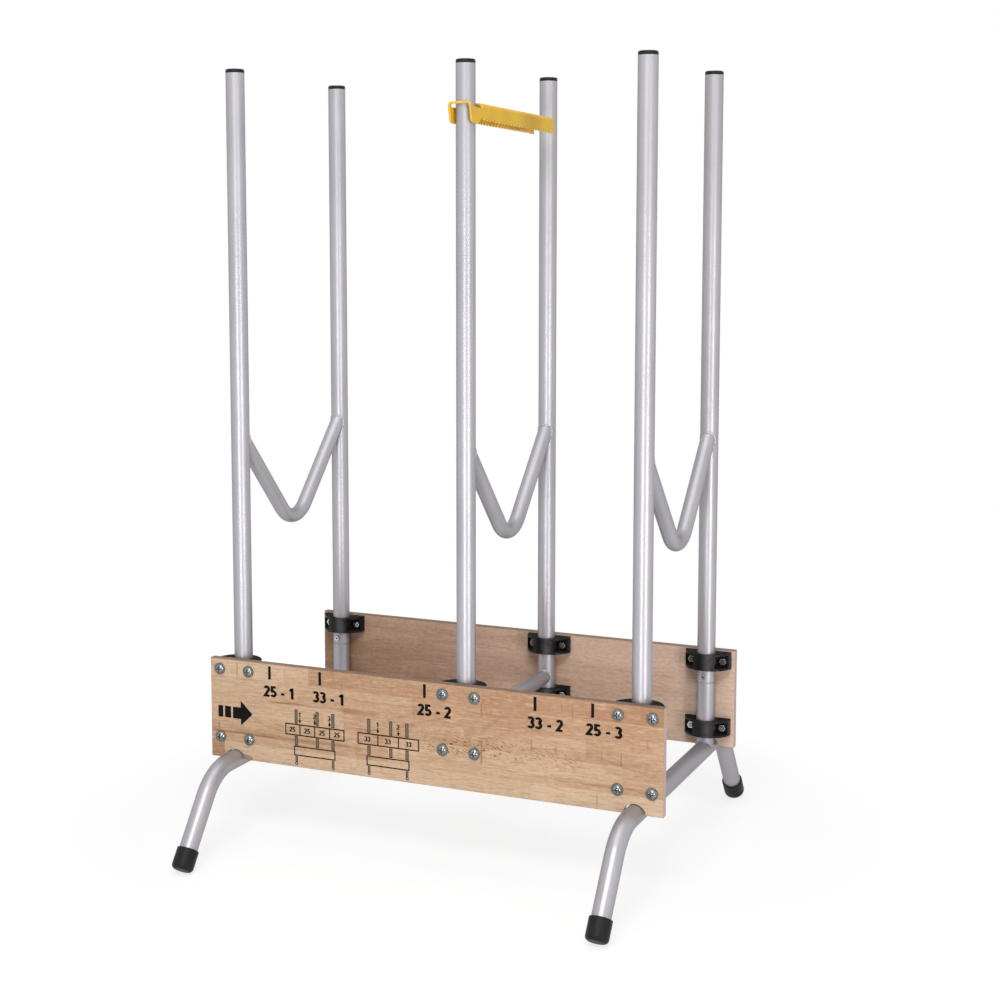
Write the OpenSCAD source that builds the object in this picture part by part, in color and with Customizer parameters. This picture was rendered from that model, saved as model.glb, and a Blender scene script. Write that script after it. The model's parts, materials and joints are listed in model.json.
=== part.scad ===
// Log saw stand: two boards, three tube frames that turn in clips, and a toothed log clamp.
// Millimetres, +Z up. The origin is on the floor under the middle of the boards.
// X runs along the boards and -Y is the front.

/* [Boards] */
// Length of each board
board_len = 700; // [680:1:800]
// Height of each board
board_h = 149; // [140:1:165]
// Thickness of each board
board_t = 12; // [10:0.5:16]
// Chamfer on the long edges of a board
board_chamfer = 1; // [0.5:0.1:2]
// Radius of the notch over each leg tube
notch_r = 16.6; // [16:0.1:19]
// Height of the notch above the board's lower edge
notch_depth = 14.5; // [14:0.1:16]

/* [Frames] */
// Distance from a board's end to the end frame
end_inset = 40; // [37:1:60]
// Distance of the middle frame from the middle of the boards
mid_x = 52; // [0:1:100]
// Distance between the front and rear upright axes
frame_w = 304; // [280:1:340]
// Outer diameter of uprights and stubs
tube_d = 27; // [26:0.1:28]
// Wall thickness of every tube
tube_wall = 1.5; // [1.2:0.1:2]
// Height of the top end of the uprights
top_z = 1126.5; // [1105:0.5:1250]
// Height of the joint between an upright and its stub
joint_z = 229.7; // [226:0.1:233]
// Length of the stub's thinner end inside the upright
spigot_len = 40; // [30:1:60]
// Depth of the middle uprights below their lower clips
mid_tail = 10; // [5:1:20]

/* [Cradle bars] */
// Outer diameter of the cradle bars and of the middle cross tube
bar_d = 22; // [20:0.1:23]
// Slope of each limb from level, in degrees
bar_slope = 47; // [42:1:50]
// Bend radius at the bottom of the cradle, on the tube axis
bar_bend_r = 48; // [40:1:55]
// Height of the tube axis at the bottom of the cradle
bar_bottom_z = 464.6; // [430:0.1:500]

/* [Legs] */
// Outer diameter of the foot bows
leg_d = 26.6; // [25:0.1:27]
// Height of the level part's axis, and of the boards' lower edge
leg_z = 127; // [120:1:140]
// Lean of each leg from upright, in degrees
leg_lean = 36; // [30:1:40]
// Bend radius of a foot bow, on the tube axis
leg_bend_r = 75; // [65:1:80]
// Distance from the middle to the corner where level part and leg would meet
leg_corner_y = 238; // [230:1:255]
// Outer diameter of a rubber foot
foot_d = 31.5; // [31:0.5:36]
// Length of a rubber foot
foot_len = 30; // [26:1:36]
// Floor thickness of a rubber foot
foot_floor = 6; // [6:0.5:8]
// Edge rounding at the foot's lower end
foot_round = 6; // [4:0.5:8]
// Depth of the flat where a foot is pressed on the floor
foot_flat = 0.5; // [0.2:0.1:1]

/* [Clips] */
// Width of a clip along the board
clip_w = 70; // [68:1:72]
// Height of a clip
clip_h = 24.8; // [23:0.1:26]
// Height of the screws above a clip's lower side
clip_foot = 11.5; // [11:0.1:12.5]
// Radius of a clip's rounded front
clip_front_r = 36; // [35.5:0.1:40]
// Plastic in front of the tube
clip_wall = 4.3; // [4:0.1:5]
// Floor thickness under a nut
clip_ear_t = 6; // [5:0.5:7]
// Thickness of the plates above and below a nut pocket
clip_plate_t = 3; // [2.5:0.1:3.5]
// Distance of the upper screws from the board's top edge
clip_top_drop = 15.5; // [15:0.5:18]
// Height of an end frame's lower screws above the board's lower edge
clip_low_rise = 31.4; // [30:0.1:33]
// Height of the middle frame's lower screws above the board's lower edge
clip_mid_rise = 54.5; // [52:0.1:60]

/* [Fasteners] */
// Distance between the two screws of a clip
screw_pitch = 48.6; // [48:0.1:50]
// Shank diameter of a board screw
screw_d = 6; // [5:0.1:6.2]
// Head diameter of a board screw
head_d = 13; // [11.5:0.1:14]
// Head height of a board screw
head_h = 3.6; // [3:0.1:4]
// Outer diameter of a washer
washer_d = 17.5; // [16:0.1:18]
// Thickness of a washer
washer_t = 1.4; // [1:0.1:2]
// Width across flats of a nut
nut_af = 9.5; // [9:0.1:10.5]
// Thickness of a nut
nut_t = 5; // [4:0.1:6]
// Head diameter of a joint screw
joint_head_d = 9; // [8:0.1:10]
// Distance of a joint screw above its joint
joint_screw_rise = 10; // [8:0.5:12]

/* [Log clamp] */
// Reach of the clamp behind the upright's axis
clamp_len = 242; // [180:1:262]
// Sheet thickness
clamp_t = 2.8; // [2:0.1:3]
// Depth of the flanges at the loop
clamp_h = 28.5; // [26:0.5:32]
// Depth of the flanges at the tips of the teeth
clamp_saw_h = 23.5; // [18:0.5:25]
// Distance of the web's top below the upright's top end
clamp_drop = 52.1; // [51:0.1:120]
// Turn of the clamp towards +X, in degrees
clamp_yaw = 4; // [0:0.5:15]
// Dip of the clamp's rear end, in degrees
clamp_tilt = 1.5; // [0:0.1:3]
// Width of the strip in front of the upright
clamp_strip = 5; // [4:0.1:7]
// Length of one tooth
tooth_pitch = 9; // [7:0.1:10]
// Depth of one tooth
tooth_h = 5; // [3:0.1:6]

/* [Plugs] */
// Height of a plug's rim above the tube
plug_rim = 5.5; // [4:0.1:7]
// Length of a plug inside the tube
plug_len = 18; // [12:1:30]

/* [Clearances] */
// Gap between an upright and the board
tube_board_gap = 1.7; // [1.5:0.1:2]
// Radial gap between a tube and its clip
clip_clear = 0.3; // [0.25:0.01:0.4]
// Radial gap of a plug, spigot or foot on its tube
slip_clear = 0.05; // [0.02:0.01:0.1]
// Gap at a welded seat, filled by the weld
weld_gap = 0.02; // [0.01:0.01:0.05]
// Radial gap of a screw in its holes
screw_clear = 0.2; // [0.1:0.05:0.3]
// Gap between the clamp and the upright at the front strip
clamp_clear = 0.05; // [0.03:0.01:0.1]
// Side gap between the clamp's flanges and the upright
clamp_side_gap = 1.2; // [0.8:0.1:1.5]
// Gap of the middle cross tube over its clips
cross_gap = 5.5; // [1:0.1:8]

/* [Hidden] */
$fn = 64;
arc_steps = 5;
eps = 0.5;
tube_r = tube_d / 2;
tube_bore_r = tube_r - tube_wall;
bar_r = bar_d / 2;
leg_r = leg_d / 2;
axis_y = frame_w / 2;
end_x = board_len / 2 - end_inset;
axis_depth = tube_r + tube_board_gap;
inner_y = axis_y + axis_depth;
outer_y = inner_y + board_t;
board_z = leg_z;
clip_up_z = board_z + board_h - clip_top_drop;
clip_low_z = board_z + clip_low_rise;
clip_mid_z = board_z + clip_mid_rise;
clip_depth = axis_depth + tube_r + clip_wall;
clip_bore_r = tube_r + clip_clear;
clip_boss_wall = 2.6;
clip_end_wall = 2;
pocket_in = clip_bore_r + clip_boss_wall;
pocket_out = clip_w / 2 - clip_end_wall;
screw_x = screw_pitch / 2;
screw_r = screw_d / 2;
screw_hole_r = screw_r + screw_clear;
shank_out = 2;
shank_len = washer_t + board_t + clip_ear_t + nut_t + shank_out;
recess_l = 0.62 * head_d;
recess_w = 0.14 * head_d;
recess_depth = 0.6 * head_h;
cross_z = clip_mid_z - clip_foot + clip_h + cross_gap + bar_r;
spigot_r = tube_bore_r - slip_clear;
spigot_bore_r = spigot_r - tube_wall;
stub_seat = 6;
joint_chamfer = 0.8;
joint_screw_z = joint_z + joint_screw_rise;
joint_shank_r = 2.5;
joint_shank_len = 8;
joint_head_h = 3;
joint_head_taper = 2;
joint_recess_l = 5;
joint_recess_w = 1.2;
joint_recess_depth = 1.6;
mid_low_z = clip_mid_z - clip_foot - mid_tail;
leg_turn = 90 - leg_lean;
leg_tangent = leg_bend_r * tan(leg_turn / 2);
leg_level = leg_corner_y - leg_tangent;
foot_r = foot_d / 2;
foot_low_z = (foot_r - foot_round) * sin(leg_lean) + foot_round * (1 - cos(leg_lean)) - foot_flat;
foot_reach = (leg_z - foot_low_z) / cos(leg_lean);
leg_run = foot_reach - foot_floor - leg_tangent;
foot_y = leg_corner_y + foot_reach * sin(leg_lean);
bend_thin = 0.05;
bend_lap = 1;
bar_end_y = bar_bend_r * sin(bar_slope);
bar_run = (axis_y - bar_end_y) / cos(bar_slope);
plug_round = 2.2;
plug_wall = 3;
clamp_z = top_z - clamp_drop;
clamp_half = tube_r + clamp_side_gap + clamp_t;
clamp_fold_r = 5.5;
clamp_hole_front = tube_r + clamp_clear;
clamp_front = clamp_hole_front + clamp_strip;
clamp_hole_back = 4;
clamp_hole_rear = tube_r + clamp_hole_back;
clamp_hole_drop = 7;
clamp_hole_r = 3;
clamp_slant = 4;
clamp_corner_r = 7;
clamp_heel = 3;
tooth_start = 17;
tooth_end = 4;
tooth_lean = 0.75;
tooth_count = floor((clamp_len - tooth_start - tooth_end) / tooth_pitch);

steel = [0.75, 0.75, 0.78];
zinc = [0.62, 0.63, 0.65];
beech = [0.82, 0.66, 0.48];
black = [0.09, 0.09, 0.09];
soft_black = [0.06, 0.06, 0.06];
yellow = [0.93, 0.74, 0.1];

// Front pieces are drawn as they are, rear pieces are their mirror image
module side(rear) {
  mirror([0, rear ? 1 : 0, 0]) children();
}

// Flat drawing of a frame: drawing x is world Y and drawing y is world Z
module in_frame(x) {
  translate([x, 0, 0]) rotate([90, 0, 90]) children();
}

// Every place where a clip is fastened, as [x, z]
function clip_places() = [
  [-end_x, clip_up_z], [-end_x, clip_low_z],
  [mid_x, clip_up_z], [mid_x, clip_mid_z],
  [end_x, clip_up_z], [end_x, clip_low_z]
];

// Board on the front side
module board() {
  y0 = -outer_y;
  y1 = -inner_y;
  z0 = board_z;
  z1 = board_z + board_h;
  k = board_chamfer;
  difference() {
    translate([-board_len / 2, 0, 0]) rotate([90, 0, 90])
      linear_extrude(height = board_len)
        polygon([
          [y0 + k, z0], [y1 - k, z0], [y1, z0 + k], [y1, z1 - k],
          [y1 - k, z1], [y0 + k, z1], [y0, z1 - k], [y0, z0 + k]
        ]);
    for (x = [-end_x, end_x])
      translate([x, -inner_y + eps, board_z + notch_depth - notch_r]) rotate([90, 0, 0])
        cylinder(r = notch_r, h = board_t + 2 * eps);
    at_screws(-inner_y + eps) cylinder(r = screw_hole_r, h = board_t + 2 * eps);
  }
}

// Places children at every screw axis, their +Z turned to the front
module at_screws(y) {
  for (p = clip_places())
    for (dx = [-screw_x, screw_x])
      translate([p[0] + dx, y, p[1]]) rotate([90, 0, 0]) children();
}

// Half-round clip with a bore for the tube and two nut pockets, flat back on the board
module clip(x, z) {
  translate([x, -inner_y, z - clip_foot])
    difference() {
      linear_extrude(height = clip_h)
        difference() {
          intersection() {
            translate([0, clip_depth - clip_front_r]) circle(r = clip_front_r, $fn = 128);
            translate([-clip_w / 2, 0]) square([clip_w, clip_depth + eps]);
          }
          translate([0, axis_depth]) circle(r = clip_bore_r);
        }
      for (m = [0, 1]) mirror([m, 0, 0]) {
        translate([pocket_in, clip_ear_t, clip_plate_t])
          cube([pocket_out - pocket_in, clip_depth, clip_h - 2 * clip_plate_t]);
        translate([screw_x, -eps, clip_foot]) rotate([-90, 0, 0])
          cylinder(r = screw_hole_r, h = clip_ear_t + 2 * eps);
      }
    }
}

// Domed head with a cross recess, on a plain shank
module board_screw() {
  dome_r = (pow(head_d / 2, 2) + pow(head_h, 2)) / (2 * head_h);
  difference() {
    union() {
      intersection() {
        translate([0, 0, head_h - dome_r]) sphere(r = dome_r);
        cylinder(d = head_d, h = head_h);
      }
      translate([0, 0, -shank_len]) cylinder(r = screw_r, h = shank_len);
    }
    for (a = [0, 90]) rotate([0, 0, a])
      translate([-recess_l / 2, -recess_w / 2, head_h - recess_depth])
        cube([recess_l, recess_w, recess_depth + eps]);
  }
}

module screws() {
  at_screws(-outer_y - washer_t) board_screw();
}

module washers() {
  at_screws(-outer_y)
    difference() {
      cylinder(d = washer_d, h = washer_t);
      translate([0, 0, -eps]) cylinder(r = screw_hole_r, h = washer_t + 2 * eps);
    }
}

module nuts() {
  at_screws(-inner_y + clip_ear_t + nut_t)
    difference() {
      cylinder(d = nut_af / cos(30), h = nut_t, $fn = 6);
      translate([0, 0, -eps]) cylinder(r = screw_hole_r, h = nut_t + 2 * eps);
    }
}

// Solid round tube with a small bevel round its lower end
module bevelled_tube(h) {
  rotate_extrude()
    polygon([[0, 0], [tube_r - joint_chamfer, 0], [tube_r, joint_chamfer], [tube_r, h], [0, h]]);
}

// Front upright from its lower end to the top, with a hole for the joint screw if it has one
module upright(x, low_z, jointed) {
  translate([x, -axis_y, 0])
    difference() {
      translate([0, 0, low_z]) bevelled_tube(top_z - low_z);
      translate([0, 0, low_z - eps]) cylinder(r = tube_bore_r, h = top_z - low_z + 2 * eps);
      if (jointed)
        translate([0, 0, joint_screw_z]) rotate([-90, 0, 0])
          cylinder(r = joint_shank_r + screw_clear, h = tube_d);
    }
}

// Path of the cradle bar as a solid of radius r, a little thinner in the bend
module cradle_path(r) {
  translate([0, bar_bottom_z + bar_bend_r, 0]) {
    rotate([0, 0, 270 - bar_slope])
      rotate_extrude(angle = 2 * bar_slope) translate([bar_bend_r, 0]) circle(r = r - bend_thin);
    for (m = [0, 1]) mirror([m, 0, 0])
      rotate([0, 0, bar_slope]) translate([-bend_lap, -bar_bend_r, 0]) rotate([0, 90, 0])
        cylinder(r = r, h = bar_run + bend_lap);
  }
}

// Cradle bar with both ends cut to sit on the uprights
module cradle(x) {
  difference() {
    in_frame(x)
      difference() {
        cradle_path(bar_r);
        cradle_path(bar_r - tube_wall);
      }
    seat_cuts(x, bar_bottom_z, top_z - bar_bottom_z);
  }
}

// Room for both uprights at a welded seat
module seat_cuts(x, z, h) {
  for (y = [-axis_y, axis_y])
    translate([x, y, z]) cylinder(r = tube_r + weld_gap, h = h);
}

// Level tube between the middle uprights, over their lower clips
module middle_cross() {
  difference() {
    translate([mid_x, axis_y, cross_z]) rotate([90, 0, 0]) cylinder(r = bar_r, h = frame_w);
    translate([mid_x, axis_y + eps, cross_z]) rotate([90, 0, 0])
      cylinder(r = bar_r - tube_wall, h = frame_w + 2 * eps);
    seat_cuts(mid_x, cross_z - tube_d, 2 * tube_d);
  }
}

// Path of a foot bow as a solid of radius r, each leg longer by extra
module bow_path(r, extra) {
  level = leg_level + bend_lap;
  translate([-level, leg_z, 0]) rotate([0, 90, 0]) cylinder(r = r, h = 2 * level);
  for (m = [0, 1]) mirror([m, 0, 0])
    translate([leg_level, leg_z - leg_bend_r, 0]) rotate([0, 0, leg_lean]) {
      rotate_extrude(angle = leg_turn) translate([leg_bend_r, 0]) circle(r = r - bend_thin);
      translate([leg_bend_r, bend_lap, 0]) rotate([90, 0, 0])
        cylinder(r = r, h = leg_run + bend_lap + extra);
    }
}

module bow(x) {
  in_frame(x)
    difference() {
      bow_path(leg_r, 0);
      bow_path(leg_r - tube_wall, eps);
    }
}

// Front stub: lower end cut over the foot bow, thinner end up inside the upright
module stub(x) {
  low_z = leg_z + stub_seat;
  top = joint_z + spigot_len;
  difference() {
    translate([x, -axis_y, 0])
      difference() {
        union() {
          translate([0, 0, joint_z]) mirror([0, 0, 1]) bevelled_tube(joint_z - low_z);
          translate([0, 0, joint_z]) cylinder(r = spigot_r, h = spigot_len);
        }
        translate([0, 0, low_z - eps]) cylinder(r = spigot_bore_r, h = top - low_z + 2 * eps);
        translate([0, 0, joint_screw_z]) rotate([-90, 0, 0])
          cylinder(r = joint_shank_r + screw_clear, h = tube_d);
      }
    translate([x, -axis_y - tube_d, leg_z]) rotate([-90, 0, 0])
      cylinder(r = leg_r + weld_gap, h = 2 * tube_d);
  }
}

// Points of an arc about c, from angle a to angle b
function arc(c, r, a, b) = [
  for (i = [0 : arc_steps])
    let (t = a + (b - a) * i / arc_steps)
      [c[0] + r * cos(t), c[1] + r * sin(t)]
];

// Round plug in the top of a front upright, rim on the tube's end
module plug(x) {
  translate([x, -axis_y, top_z])
    difference() {
      union() {
        rotate_extrude()
          polygon(concat(
            [[0, 0], [tube_r, 0]],
            arc([tube_r - plug_round, plug_rim - plug_round], plug_round, 0, 90),
            [[0, plug_rim]]
          ));
        translate([0, 0, -plug_len]) cylinder(r = tube_bore_r - slip_clear, h = plug_len);
      }
      translate([0, 0, -plug_len - eps]) cylinder(r = tube_bore_r - plug_wall, h = plug_len);
    }
}

// Rubber foot on a front leg, pressed flat where its rounded end meets the floor
module foot(x) {
  mirror([0, 1, 0]) in_frame(x)
    difference() {
      translate([foot_y, foot_low_z, 0]) rotate([0, 0, leg_lean]) rotate([-90, 0, 0])
        difference() {
          rotate_extrude()
            union() {
              square([foot_r - foot_round, foot_len]);
              translate([0, foot_round]) square([foot_r, foot_len - foot_round]);
              translate([foot_r - foot_round, foot_round])
                intersection() {
                  circle(r = foot_round);
                  translate([0, -foot_round]) square([foot_round, foot_round + eps]);
                }
            }
          translate([0, 0, foot_floor]) cylinder(r = leg_r + slip_clear, h = foot_len);
        }
      translate([foot_y - foot_d, -foot_d, -foot_d]) cube([2 * foot_d, foot_d, 2 * foot_d]);
    }
}

// Joint screws of one end frame, heads on the inner sides of the uprights
module joint_screws(x) {
  for (m = [0, 1]) mirror([0, m, 0])
    translate([x, -axis_y + tube_r, joint_screw_z]) rotate([-90, 0, 0])
      difference() {
        union() {
          cylinder(d1 = joint_head_d, d2 = joint_head_d - joint_head_taper, h = joint_head_h);
          translate([0, 0, -joint_shank_len]) cylinder(r = joint_shank_r, h = joint_shank_len);
        }
        for (a = [0, 90]) rotate([0, 0, a])
          translate([-joint_recess_l / 2, -joint_recess_w / 2, joint_head_h - joint_recess_depth])
            cube([joint_recess_l, joint_recess_w, joint_recess_depth + eps]);
      }
}

// Teeth along a flange's lower edge, as points from the loop to the rear end
function tooth_points() = [
  for (i = [0 : tooth_count - 1])
    for (k = [0, 1])
      [tooth_start + (i + tooth_lean * k) * tooth_pitch, -clamp_saw_h + (k == 0 ? tooth_h : 0)]
];

// Folded sheet channel with toothed flanges and an opening for the upright
module clamp() {
  translate([mid_x, -axis_y, clamp_z]) rotate([-clamp_tilt, 0, -clamp_yaw])
    difference() {
      translate([0, clamp_len, 0]) rotate([90, 0, 0])
        linear_extrude(height = clamp_len + clamp_front)
          difference() {
            channel_outline(clamp_half, clamp_fold_r, clamp_h);
            translate([0, -clamp_t])
              channel_outline(clamp_half - clamp_t, clamp_fold_r - clamp_t, clamp_h);
          }
      across_clamp() flange_cut();
      across_clamp() loop_cut();
    }
}

// A side drawing of the clamp, drawn through its whole width
module across_clamp() {
  rotate([90, 0, 90])
    translate([0, 0, -clamp_half - eps]) linear_extrude(height = 2 * clamp_half + 2 * eps)
      children();
}

// Opening for the upright in the web and the top of both flanges
module loop_cut() {
  polygon(concat(
    [[-clamp_hole_front, eps], [-clamp_hole_front, -clamp_hole_drop]],
    arc([clamp_hole_rear - clamp_hole_r, -clamp_hole_drop + clamp_hole_r], clamp_hole_r, 270, 360),
    [[clamp_hole_rear, eps]]
  ));
}

// Solid cross-section of the channel, with rounded folds at the top
module channel_outline(half, r, h) {
  union() {
    translate([-half, -h]) square([2 * half, h - r]);
    translate([-half + r, -r]) square([2 * (half - r), r]);
    for (s = [-1, 1]) translate([s * (half - r), -r]) circle(r = r);
  }
}

// Everything below and in front of the flange, to be cut away
module flange_cut() {
  low = -clamp_h;
  corner_y = -clamp_front + clamp_slant + clamp_corner_r;
  polygon(concat(
    [[-clamp_front - eps, -clamp_fold_r], [-clamp_front, -clamp_fold_r]],
    arc([corner_y, low + clamp_corner_r], clamp_corner_r, 180, 270),
    [[clamp_heel, low]],
    tooth_points(),
    [[clamp_len + eps, -clamp_saw_h], [clamp_len + eps, low - eps], [-clamp_front - eps, low - eps]]
  ));
}

module front_board() { color(beech) board(); }
module rear_board() { color(beech) side(true) board(); }
module clip_fl_up() { color(black) clip(-end_x, clip_up_z); }
module clip_fl_low() { color(black) clip(-end_x, clip_low_z); }
module clip_fm_up() { color(black) clip(mid_x, clip_up_z); }
module clip_fm_low() { color(black) clip(mid_x, clip_mid_z); }
module clip_fr_up() { color(black) clip(end_x, clip_up_z); }
module clip_fr_low() { color(black) clip(end_x, clip_low_z); }
module clip_rl_up() { color(black) side(true) clip(-end_x, clip_up_z); }
module clip_rl_low() { color(black) side(true) clip(-end_x, clip_low_z); }
module clip_rm_up() { color(black) side(true) clip(mid_x, clip_up_z); }
module clip_rm_low() { color(black) side(true) clip(mid_x, clip_mid_z); }
module clip_rr_up() { color(black) side(true) clip(end_x, clip_up_z); }
module clip_rr_low() { color(black) side(true) clip(end_x, clip_low_z); }
module front_screws() { color(zinc) screws(); }
module front_washers() { color(zinc) washers(); }
module front_nuts() { color(zinc) nuts(); }
module rear_screws() { color(zinc) side(true) screws(); }
module rear_washers() { color(zinc) side(true) washers(); }
module rear_nuts() { color(zinc) side(true) nuts(); }
module upright_fl() { color(steel) upright(-end_x, joint_z, true); }
module upright_fm() { color(steel) upright(mid_x, mid_low_z, false); }
module upright_fr() { color(steel) upright(end_x, joint_z, true); }
module upright_rl() { color(steel) side(true) upright(-end_x, joint_z, true); }
module upright_rm() { color(steel) side(true) upright(mid_x, mid_low_z, false); }
module upright_rr() { color(steel) side(true) upright(end_x, joint_z, true); }
module cradle_left() { color(steel) cradle(-end_x); }
module cradle_mid() { color(steel) cradle(mid_x); }
module cradle_right() { color(steel) cradle(end_x); }
module foot_bow_left() { color(steel) bow(-end_x); }
module foot_bow_right() { color(steel) bow(end_x); }
module stub_fl() { color(steel) stub(-end_x); }
module stub_rl() { color(steel) side(true) stub(-end_x); }
module stub_fr() { color(steel) stub(end_x); }
module stub_rr() { color(steel) side(true) stub(end_x); }
module cross_tube() { color(steel) middle_cross(); }
module plug_fl() { color(black) plug(-end_x); }
module plug_fm() { color(black) plug(mid_x); }
module plug_fr() { color(black) plug(end_x); }
module plug_rl() { color(black) side(true) plug(-end_x); }
module plug_rm() { color(black) side(true) plug(mid_x); }
module plug_rr() { color(black) side(true) plug(end_x); }
module foot_fl() { color(soft_black) foot(-end_x); }
module foot_rl() { color(soft_black) side(true) foot(-end_x); }
module foot_fr() { color(soft_black) foot(end_x); }
module foot_rr() { color(soft_black) side(true) foot(end_x); }
module joint_screws_left() { color(zinc) joint_screws(-end_x); }
module joint_screws_right() { color(zinc) joint_screws(end_x); }
module log_clamp() { color(yellow) clamp(); }

front_board();
rear_board();
clip_fl_up();
clip_fl_low();
clip_fm_up();
clip_fm_low();
clip_fr_up();
clip_fr_low();
clip_rl_up();
clip_rl_low();
clip_rm_up();
clip_rm_low();
clip_rr_up();
clip_rr_low();
front_screws();
front_washers();
front_nuts();
rear_screws();
rear_washers();
rear_nuts();
upright_fl();
upright_fm();
upright_fr();
upright_rl();
upright_rm();
upright_rr();
cradle_left();
cradle_mid();
cradle_right();
foot_bow_left();
foot_bow_right();
stub_fl();
stub_rl();
stub_fr();
stub_rr();
cross_tube();
plug_fl();
plug_fm();
plug_fr();
plug_rl();
plug_rm();
plug_rr();
foot_fl();
foot_rl();
foot_fr();
foot_rr();
joint_screws_left();
joint_screws_right();
log_clamp();
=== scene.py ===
"""Looks of the log saw stand: materials, weld beads, print, floor, light and camera."""

import json
import math

import bpy
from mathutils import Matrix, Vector


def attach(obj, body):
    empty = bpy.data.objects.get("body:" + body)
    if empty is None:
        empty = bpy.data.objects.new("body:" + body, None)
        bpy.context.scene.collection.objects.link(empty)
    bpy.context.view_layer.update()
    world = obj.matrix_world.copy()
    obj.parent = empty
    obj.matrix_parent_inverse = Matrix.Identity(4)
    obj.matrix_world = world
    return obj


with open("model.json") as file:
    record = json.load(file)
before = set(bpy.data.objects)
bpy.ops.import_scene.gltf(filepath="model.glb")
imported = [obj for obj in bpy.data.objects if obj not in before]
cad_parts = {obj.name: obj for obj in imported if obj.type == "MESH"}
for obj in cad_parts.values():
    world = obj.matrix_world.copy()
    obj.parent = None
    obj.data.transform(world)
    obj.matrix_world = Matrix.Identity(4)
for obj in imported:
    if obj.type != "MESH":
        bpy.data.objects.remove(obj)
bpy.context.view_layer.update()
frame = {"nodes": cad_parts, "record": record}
nodes = frame["nodes"]
scene = bpy.context.scene

# Sizes that the dressing shares with the solids, in metres
MM = 0.001
AXIS_Y = 152 * MM
END_X = 310 * MM
MID_X = 52 * MM
TUBE_R = 13.5 * MM
BAR_R = 11 * MM
LEG_R = 13.3 * MM
LEG_Z = 127 * MM
STUB_LOW_Z = 133 * MM
CROSS_Z = 211.3 * MM
BAR_SLOPE = math.radians(47)
BAR_BOTTOM_Z = 464.6 * MM
BAR_BEND_R = 48 * MM
BOARD_HALF = 350 * MM
FRONT_Y = -179.2 * MM


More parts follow.
